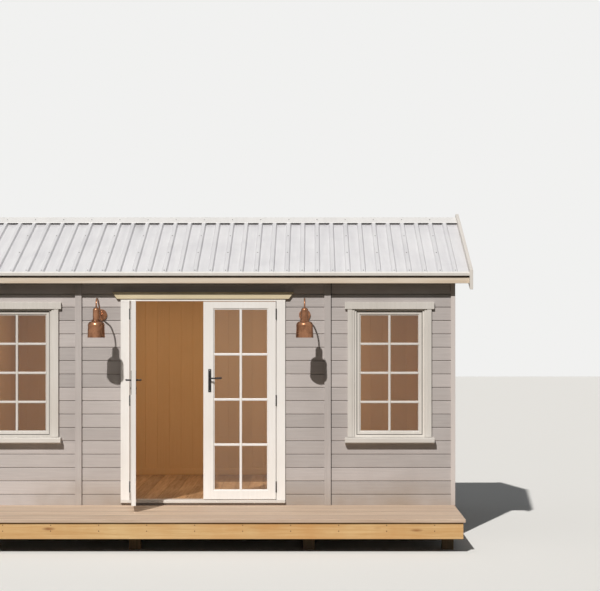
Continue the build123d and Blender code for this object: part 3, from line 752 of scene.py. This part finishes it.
# %% Close the corners
corner_skin = 0.012
corner_groove = 0.003
corner_tone = 0.2
corner_ends = bmesh.new()
for node, ways in (("front_wall_left", (-1,)), ("front_wall_right", (1,)), ("back_wall", (-1, 1))):
    low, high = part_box(node)
    if node == "back_wall":
        high.y -= board_skin
    else:
        low.y += board_skin
    for way in ways:
        before = faces_so_far(corner_ends)
        near, far = sorted((way * house_half, way * (house_half - corner_skin)))
        end_board = add_block(corner_ends, (near, low.y, low.z), (far, high.y, high.z))
        v_edges(corner_ends, end_board, 2, Vector((way, 0, 0)), corner_groove)
        under_roof(corner_ends, before, corner_tone)
finished(corner_ends, "corner_ends", strip_paint)
print("wall ends closed with boards", corner_skin, "m thick")

# %% [markdown]
# ## The room
# Through the door and the panes one sees a lined room: pale upright boards and a board floor that runs to
# the back. The lining takes up what the cores left free. Its joints are fine, because lining boards are
# tongued together. A skirting board in the same paint covers the joint between floor and wall.

# %% Line the room
lining_pitch = 0.14
lining_groove = 0.0025
room_chance = random.Random(23)
for node, facing, run in outer_faces:
    if node == "front_wall_below_door":
        continue
    low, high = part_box(node)
    low.z = max(low.z, floor_top)
    if run == 0:
        low.x, high.x = max(low.x, -room_half), min(high.x, room_half)
    inside = tuple(-v for v in facing)
    boards = bmesh.new()
    upright_holes = [(below, above, start, end) for start, end, below, above in window_holes.get(node, [])]
    lay_boards(boards, (low, high), inside, 2, lining_pitch, low[run], lining_skin, lining_groove,
               room_chance, upright_holes)
    finished(boards, f"lining_{node}", lining_paint)
print("room lined with boards of", lining_pitch, "m")

# %% Lay the floor
floor_width = 0.148
floor_gap = 0.0015
floor_edge = 0.0018
narrowest = 0.01
low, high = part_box("floor_boards")
boards = bmesh.new()
left_edge = low.x
while left_edge < high.x - narrowest:
    right_edge = min(left_edge + floor_width, high.x)
    add_block(boards, (left_edge + floor_gap / 2, low.y, low.z), (right_edge - floor_gap / 2, high.y, high.z),
              room_chance.uniform(-1, 1), floor_edge, 1)
    left_edge += floor_width
finished(boards, "room_floor", floor_timber, instead=["floor_boards"])
print("floor laid in boards of", floor_width, "m")

# %% Fix the skirting
skirting_height = 0.07
skirting_depth = 0.012
skirting_edge = 0.003
skirting = bmesh.new()
skirting_top = floor_top + skirting_height
skirting_back = room_back - skirting_depth
add_block(skirting, (-room_half, skirting_back, floor_top), (room_half, room_back, skirting_top), 0.2,
          skirting_edge)
for side, way in side_walls:
    near, far = sorted((way * room_half, way * (room_half - skirting_depth)))
    add_block(skirting, (near, room_front, floor_top), (far, skirting_back, skirting_top), 0.0, skirting_edge)
finished(skirting, "skirting", lining_paint)
print("skirting", skirting_height, "m high")

# %% [markdown]
# ## Roof boards
# Under the steel lie lining boards, which show inside and below the overhangs, so they too are laid one by
# one. They are laid level and then sheared up to the slope: shearing a whole row is simpler than turning
# each board.

# %% Roof boards
boards_a_side = 15
soffit_groove = 0.004
soffit_chance = random.Random(5)
for side in ("front", "back"):
    low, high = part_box(f"roof_boards_{side}")
    thick = high.z - lining_peak
    width = (high.y - low.y) / boards_a_side
    boards = bmesh.new()
    for i in range(boards_a_side):
        tone = soffit_chance.uniform(-1, 1)
        start = low.y + i * width
        end = low.y + (i + 1) * width
        before = faces_so_far(boards)
        board = add_block(boards, (low.x, start, 0), (high.x, end, thick), tone)
        v_edges(boards, board, 0, Vector((0, 0, -1)), soffit_groove)
        give_tone(boards, before, tone)
    for vert in boards.verts:
        vert.co.z += lining_under(vert.co.y)
    # The dark timber on these boards is painted shade.
    finished(boards, f"soffit_{side}", soffit_timber, instead=[f"roof_boards_{side}"])
print("roof boards laid,", round(width, 3), "m each")

# %% [markdown]
# ## Roof steel
# The steel keeps the shape that it was folded to, with its edges eased as a real fold is. It is held by
# screws with washers on the crests, in rows over the battens below. Where the crests run and how high they
# stand is read from the sheet's own points at the eave, so the screws always sit on the steel.

# %% Roof steel
softened("roof_sheet_front", "steel_front", roof_steel, by=0.0025)
softened("roof_sheet_back", "steel_back", roof_steel, by=0.0025)
softened("ridge_cap", "cap_folded", cap_steel, by=0.0012, sharp=10)
softened("eave_trims", "eave_edge_folded", eave_steel, by=0.0008)
eave_zone = 0.02
widest_crest = 0.05
crest_reach = 0.0005
eave_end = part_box("roof_sheet_front")[0].y + eave_zone
at_eave = [v.co for v in nodes["roof_sheet_front"].data.vertices if v.co.y < eave_end]
crest_top = max(v.z for v in at_eave)
on_crest = [v for v in at_eave if v.z > crest_top - crest_reach]
crest_edges = sorted({round(v.x, 4) for v in on_crest})
crests = [(a + b) / 2 for a, b in zip(crest_edges, crest_edges[1:]) if b - a < widest_crest]
crest_lift = crest_top - lining_under(min(v.y for v in on_crest))
print(len(crests), "crests, first", round(crests[0], 3), "lift", round(crest_lift, 4))


def turned_to(outward):
    """The turn that points a piece's Z along outward."""
    return Vector(outward).to_track_quat("Z", "Y").to_matrix().to_4x4()


def add_head(maker, centre, outward, head):
    """A screw's head or washer on a surface. head is (radius, height, its top's share, sides)."""
    radius, height, top_share, sides = head
    before = faces_so_far(maker)
    place = Matrix.Translation(Vector(centre) + Vector(outward) * height / 2) @ turned_to(outward)
    bmesh.ops.create_cone(maker, cap_ends=True, segments=sides, radius1=radius, radius2=radius * top_share,
                          depth=height, matrix=place)
    give_tone(maker, before)


# %% Roof screws
washer = (0.0085, 0.0018, 0.95, 10)
hex_head = (0.0052, 0.005, 0.92, 6)
washer_sunk = 0.0005
head_start = 0.0015
screws = bmesh.new()
cap_low, cap_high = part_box("ridge_cap")
cap_lift = cap_high.z - lining_peak - crest_lift
batten_lines = middles_of("roof_battens", 1)
for y in batten_lines:
    out = Vector((0, slope if y > middle else -slope, 1)).normalized()
    lift = crest_lift + (cap_lift if cap_low.y < y < cap_high.y else 0)
    at_eaves = y in (batten_lines[0], batten_lines[-1])
    for x in crests if at_eaves else crests[::2]:
        foot = Vector((x, y, lining_under(y) + lift)) - out * washer_sunk
        add_head(screws, foot, out, washer)
        add_head(screws, foot + out * head_start, out, hex_head)
finished(screws, "roof_screws", zinc)
print("roof screws in", len(batten_lines), "rows")

# %% [markdown]
# ## Trims, frames and doors
# These pieces already have their true shape and size. What a plain solid lacks is a worn edge: every sawn or
# painted corner is rounded by a millimetre or two, and that thin line of light is what makes it read as
# timber. So each is copied with its edges rounded, and with a tone of its own for every single board.
# The list says for each node which finish it gets, which slot it belongs to and how far its edges are worn.

# %% Ease the edges of the timber
soft_nodes = (
    ("barge_boards_front", trim_paint, "trim_paint", 0.003),
    ("barge_boards_back", trim_paint, "trim_paint", 0.003),
    ("corner_boards", corner_paint, "wall_paint", 0.002),
    ("cover_strips", strip_paint, "wall_paint", 0.0025),
    ("eave_fascias", fascia_timber, "pine_fascia", 0.003),
    ("door_lintel", lintel_paint, "trim_paint", 0.003),
    ("door_head", white_level, "trim_paint", 0.0015),
    ("door_sill", trim_level, "trim_paint", 0.003),
    ("door_jamb_left", white_paint, "trim_paint", 0.002),
    ("door_jamb_right", white_paint, "trim_paint", 0.002),
    ("door_leaf_left", white_paint, "trim_paint", 0.002),
    ("door_leaf_right", white_paint, "trim_paint", 0.002),
    ("window_casing_left", trim_paint, "trim_paint", 0.0025),
    ("window_casing_right", trim_paint, "trim_paint", 0.0025),
    ("window_frame_left", trim_paint, "trim_paint", 0.0015),
    ("window_frame_right", trim_paint, "trim_paint", 0.0015),
    ("window_sash_left", trim_paint, "trim_paint", 0.0018),
    ("window_sash_right", trim_paint, "trim_paint", 0.0018),
    ("window_sills", trim_level, "trim_paint", 0.004),
    ("purlins", beam_timber, "frame_timber", 0.002),
    ("roof_battens", beam_timber, "frame_timber", 0.002),
    ("ridge_beam", beam_timber, "frame_timber", 0.002),
    ("bearers", frame_timber, "frame_timber", 0.003),
    ("floor_joists", joist_timber, "frame_timber", 0.002),
    ("deck_joists", joist_timber, "frame_timber", 0.002),
    ("stumps", post_timber, "frame_timber", 0.003),
    ("deck_boards", deck_timber, "deck_timber", 0.003),
    ("deck_fascia_front", deck_side_timber, "pine_fascia", 0.003),
    ("deck_fascia_sides", deck_end_timber, "pine_fascia", 0.003),
)
for seed, (node, finish, slot_name, by) in enumerate(soft_nodes):
    softened(node, f"eased_{node}", finish, by, seed=seed)
print(len(soft_nodes), "timber pieces eased")

# %% [markdown]
# ## Glass and glazing bars
# Each sash and each leaf holds one sheet of glass, and thin bars on both faces make it look like eight small
# panes. The bars share its height evenly, as in the picture. A bar has sloped sides towards the glass, like
# a real moulding, which a bevel of its top edges gives. Round each sheet runs a fine bead that holds it in.

# %% Glass
glass_nodes = ("window_glass", "door_glass_left", "door_glass_right")
for node in glass_nodes:
    nodes[node].data.materials.clear()
    nodes[node].data.materials.append(glass)
print("glass set in", len(glass_nodes), "nodes")


# %% A way to make glazing bars
panes_high = 4
bar_proud = 0.016
bar_chamfer = 0.005
bead_width = 0.005
bead_proud = bar_proud * 0.6
bead_chamfer = 0.002


def add_bar(maker, start, end, width, proud, outward, chamfer=bar_chamfer):
    """A glazing bar that lies on the glass from start to end and stands proud of it, with sloped sides."""
    start, end, outward = Vector(start), Vector(end), Vector(outward)
    run = end - start
    along = run.normalized()
    turn = Matrix((along, outward.cross(along), outward)).transposed().to_4x4()
    place = Matrix.Translation((start + end) / 2 + outward * proud / 2) @ turn
    before = faces_so_far(maker)
    bmesh.ops.create_cube(maker, size=1.0, matrix=place @ Matrix.Diagonal((run.length, width, proud, 1)))
    top = dict.fromkeys(e for f in maker.faces if f not in before for e in f.edges
                        if all((v.co - start).dot(outward) > proud * 0.9 for v in e.verts)
                        and abs((e.verts[1].co - e.verts[0].co).normalized().dot(along)) > parallel)
    ease(maker, list(top), chamfer)
    give_tone(maker, before)


def glaze(maker, low, high, bar_width):
    """Bars and beads on both faces of a sheet of glass with these corners, two panes wide and four high."""
    upright = (low.x + high.x) / 2
    tall = high.z - low.z
    inner_low, inner_high = low.x + bead_width, high.x - bead_width
    for face_y, way in ((low.y, -1), (high.y, 1)):
        out = (0, way, 0)
        add_bar(maker, (upright, face_y, low.z), (upright, face_y, high.z), bar_width, bar_proud, out)
        for height in (low.z + tall * k / panes_high for k in range(1, panes_high)):
            for start, end in ((low.x, upright - bar_width / 2), (upright + bar_width / 2, high.x)):
                add_bar(maker, (start, face_y, height), (end, face_y, height), bar_width, bar_proud, out)
        for x in (low.x + bead_width / 2, high.x - bead_width / 2):
            add_bar(maker, (x, face_y, low.z), (x, face_y, high.z), bead_width, bead_proud, out, bead_chamfer)
        for z in (low.z + bead_width / 2, high.z - bead_width / 2):
            add_bar(maker, (inner_low, face_y, z), (inner_high, face_y, z), bead_width, bead_proud, out,
                    bead_chamfer)
    return tall / panes_high


print("bars stand", bar_proud, "m proud of the glass")

# %% Window bars
window_bar = 0.024
for side, way in side_walls:
    pane_low, pane_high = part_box("window_glass")
    sash_low, sash_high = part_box(f"window_sash_{side}")
    stile = pane_high.z - sash_high.z
    pane_low.x, pane_high.x = sash_low.x - stile, sash_high.x + stile
    bars = bmesh.new()
    step = glaze(bars, pane_low, pane_high, window_bar)
    finished(bars, f"window_bars_{side}", trim_paint)
print("windows have bars every", round(step, 3), "m")

# %% [markdown]
# ## The open leaf
# The left leaf stands open, turned about its hinge pin. Its bars are made as the mirror image of the right
# leaf's, and then turned as one piece. The turn is measured on the leaf's own glass, and the pin on the
# joint, so the bars follow if the leaf is opened by another angle.

# %% Measure the open leaf
joint_by_name = {joint["name"]: joint for joint in frame["joints"]}
pin = Vector(joint_by_name["door_left_hinge"]["pos_m"])
glass_points = [v.co for v in nodes["door_glass_left"].data.vertices]
glass_points.sort(key=lambda point: (point - pin).xy.length)
half = len(glass_points) // 2
near, far = (sum(part, Vector()) / half for part in (glass_points[:half], glass_points[half:]))
opened = atan2((far - near).y, (far - near).x)
print("left leaf turned by", round(opened * 180 / pi, 1), "degrees")


def onto_left_leaf(maker):
    """Mirrors what was made for the right leaf, and turns it with the open left leaf."""
    bmesh.ops.scale(maker, vec=(-1, 1, 1), verts=maker.verts)
    bmesh.ops.rotate(maker, cent=pin, matrix=Matrix.Rotation(opened, 3, "Z"), verts=maker.verts)


# %% Door bars
door_bar = 0.025
pane_low, pane_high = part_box("door_glass_right")
for side in ("right", "left"):
    bars = bmesh.new()
    step = glaze(bars, pane_low, pane_high, door_bar)
    if side == "left":
        onto_left_leaf(bars)
    finished(bars, f"door_bars_{side}", white_paint, f"door_{side}")
print("door bars every", round(step, 3), "m")

# %% [markdown]
# ## Door furniture and lamps
# Hinges, plates and levers are black metal, and the plates carry the key cylinders.
# The lamps are spun copper bells on bent arms. Their curves are smoothed by shading, with the rims kept
# sharp. A frosted bulb sits in each bell, because a lamp without one would look hollow from below. It is
# turned from its profile, as on a lathe.

# %% Furniture and lamps
smooth_hardware = 35
smooth_lamp = 40
for side in ("left", "right"):
    for node, name, worn_by in ((f"lever_{side}", f"lever_{side}_worn", 0),
                                (f"lever_plates_{side}", f"plates_{side}_worn", 0.0012),
                                (f"leaf_hinges_{side}", f"leaf_hinges_{side}_worn", 0)):
        softened(node, name, black_metal, worn_by, round_under=smooth_hardware)
    for node, name in ((f"lamp_arm_{side}", f"lamp_arm_{side}_copper"),
                       (f"lamp_shade_{side}", f"lamp_bell_{side}")):
        softened(node, name, copper, 0, round_under=smooth_lamp)
softened("jamb_hinges", "jamb_hinges_worn", black_metal, 0, round_under=smooth_hardware)
print("furniture and lamps dressed")


# %% Bulbs
bulb_profile = ((0.0, 0.030), (0.020, 0.034), (0.027, 0.046), (0.027, 0.058), (0.020, 0.074), (0.013, 0.086),
                (0.013, 0.128), (0.0, 0.128))


def spun(maker, profile, axis_at, steps=32):
    """Turns a profile of (radius, height) round an upright axis and closes it."""
    before = faces_so_far(maker)
    verts = [maker.verts.new(Vector(axis_at) + Vector((radius, 0, height))) for radius, height in profile]
    edges = [maker.edges.new(pair) for pair in zip(verts, verts[1:])]
    bmesh.ops.spin(maker, geom=verts + edges, cent=axis_at, axis=(0, 0, 1), angle=2 * pi, steps=steps,
                   use_merge=True)
    bmesh.ops.remove_doubles(maker, verts=maker.verts, dist=0.00001)
    give_tone(maker, before)


for side in ("left", "right"):
    low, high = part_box(f"lamp_shade_{side}")
    bulb = bmesh.new()
    spun(bulb, bulb_profile, ((low.x + high.x) / 2, (low.y + high.y) / 2, low.z))
    finished(bulb, f"bulb_{side}", frosted, round_under=smooth_lamp)
print("bulbs set")

# %% [markdown]
# ## Fixings
# Screws are small, but at this distance they are what gives the deck its rhythm: pairs in line over each
# joist. They are placed by the joists of the frame, so they always land on timber. A builder doesn't drive
# them quite in line, so each wanders by a few millimetres.

# %% Deck screws
deck_head = (0.0045, 0.0009, 0.8, 8)
pair_half = 0.043
wander = 0.004
sunk = 0.0008
joist_lines = middles_of("deck_joists", 0)
board_lines = middles_of("deck_boards", 1)
deck_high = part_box("deck_boards")[1]
screws = bmesh.new()
screw_chance = random.Random(7)
for x in joist_lines:
    for y in board_lines:
        for apart in (-pair_half, pair_half):
            place = (x + screw_chance.uniform(-wander, wander), y + apart, deck_high.z - sunk)
            add_head(screws, place, (0, 0, 1), deck_head)
finished(screws, "deck_screws", zinc)
print(len(joist_lines), "joists,", len(board_lines), "deck boards")

# %% Fascia screws
fascia_head = (0.006, 0.0016, 0.8, 10)
low_row, high_row = 0.075, 0.025
fascia_low, fascia_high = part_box("deck_fascia_front")
screws = bmesh.new()
for x in joist_lines:
    for z in (fascia_low.z + low_row, fascia_high.z - high_row):
        add_head(screws, (x, fascia_low.y + sunk, z), (0, -1, 0), fascia_head)
finished(screws, "fascia_screws", rusty_steel)
print("two screws over each of", len(joist_lines), "joists")

# %% [markdown]
# ## Painted shadow lines and plate screws
# Four thin dark strips are laid along the edge of each fixed sash: a painted shadow line for the shade in
# the gap between sash and frame. The door plates have two screws each, outside and inside.

# %% Painted shadow lines round the window sashes
shadow_line_width = 0.007
shadow_line_proud = 0.001
shadow_line_depth = 0.003
for side, way in side_walls:
    low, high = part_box(f"window_sash_{side}")
    face = low.y - shadow_line_proud
    inside = face + shadow_line_depth
    shadow_strips = bmesh.new()
    for start, end in ((low.x, low.x + shadow_line_width), (high.x - shadow_line_width, high.x)):
        add_block(shadow_strips, (start, face, low.z), (end, inside, high.z))
    for below, above in ((low.z, low.z + shadow_line_width), (high.z - shadow_line_width, high.z)):
        add_block(shadow_strips, (low.x + shadow_line_width, face, below), (high.x - shadow_line_width, inside, above))
    finished(shadow_strips, f"sash_shadow_lines_{side}", seal_rubber)
print("sashes sealed, line", shadow_line_width, "m wide")

# %% Plate screws
plate_head = (0.0042, 0.0014, 0.8, 10)
from_plate_end = 0.014
under_plate_box = 0.0046
plate_low, plate_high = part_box("lever_plates_right")
centre_x = (plate_low.x + plate_high.x) / 2
for side in ("right", "left"):
    trims = bmesh.new()
    for face_y, way in ((plate_low.y, -1), (plate_high.y, 1)):
        for z in (plate_low.z + from_plate_end, plate_high.z - from_plate_end):
            add_head(trims, (centre_x, face_y - way * under_plate_box, z), (0, way, 0), plate_head)
    if side == "left":
        onto_left_leaf(trims)
    finished(trims, f"plate_screws_{side}", zinc, f"door_{side}")
print("plates screwed on")

# %% [markdown]
# ## Studio
# The cabin stands alone on a plain pale floor, which keeps the shadow under the deck and gives some light
# back to the eaves. The pale surroundings have no features, so nothing but the cabin shows in the glass.
# Light that only bounces meets a darker ground instead, as it would outdoors.

# %% Studio floor
floor_reach = 60
floor_maker = bmesh.new()
bmesh.ops.create_grid(floor_maker, x_segments=1, y_segments=1, size=floor_reach)
floor_mesh = bpy.data.meshes.new("studio_floor")
floor_maker.to_mesh(floor_mesh)
floor_maker.free()
floor_finish, floor_tree, floor_shader = new_finish("studio_floor")
floor_shader.inputs["Base Color"].default_value = screen_colour(244, 243, 240)
floor_shader.inputs["Roughness"].default_value = 0.9
dark_ground = add_node(floor_tree, "ShaderNodeBsdfDiffuse", {"Color": screen_colour(88, 84, 70)})
choice = {0: seen_or_mirrored(floor_tree), 1: dark_ground.outputs[0], 2: floor_shader.outputs[0]}
floor_mix = add_node(floor_tree, "ShaderNodeMixShader", choice)
floor_tree.links.new(floor_mix.outputs[0], floor_tree.nodes["Material Output"].inputs["Surface"])
floor_mesh.materials.append(floor_finish)
studio_floor = bpy.data.objects.new("studio_floor", floor_mesh)
bpy.context.scene.collection.objects.link(studio_floor)
print("floor laid", 2 * floor_reach, "m wide")

# %% [markdown]
# ## Finish
# The view transform is left plain, so colours arrive as they were written.

# %% Finish
bpy.context.scene.view_settings.view_transform = "Standard"
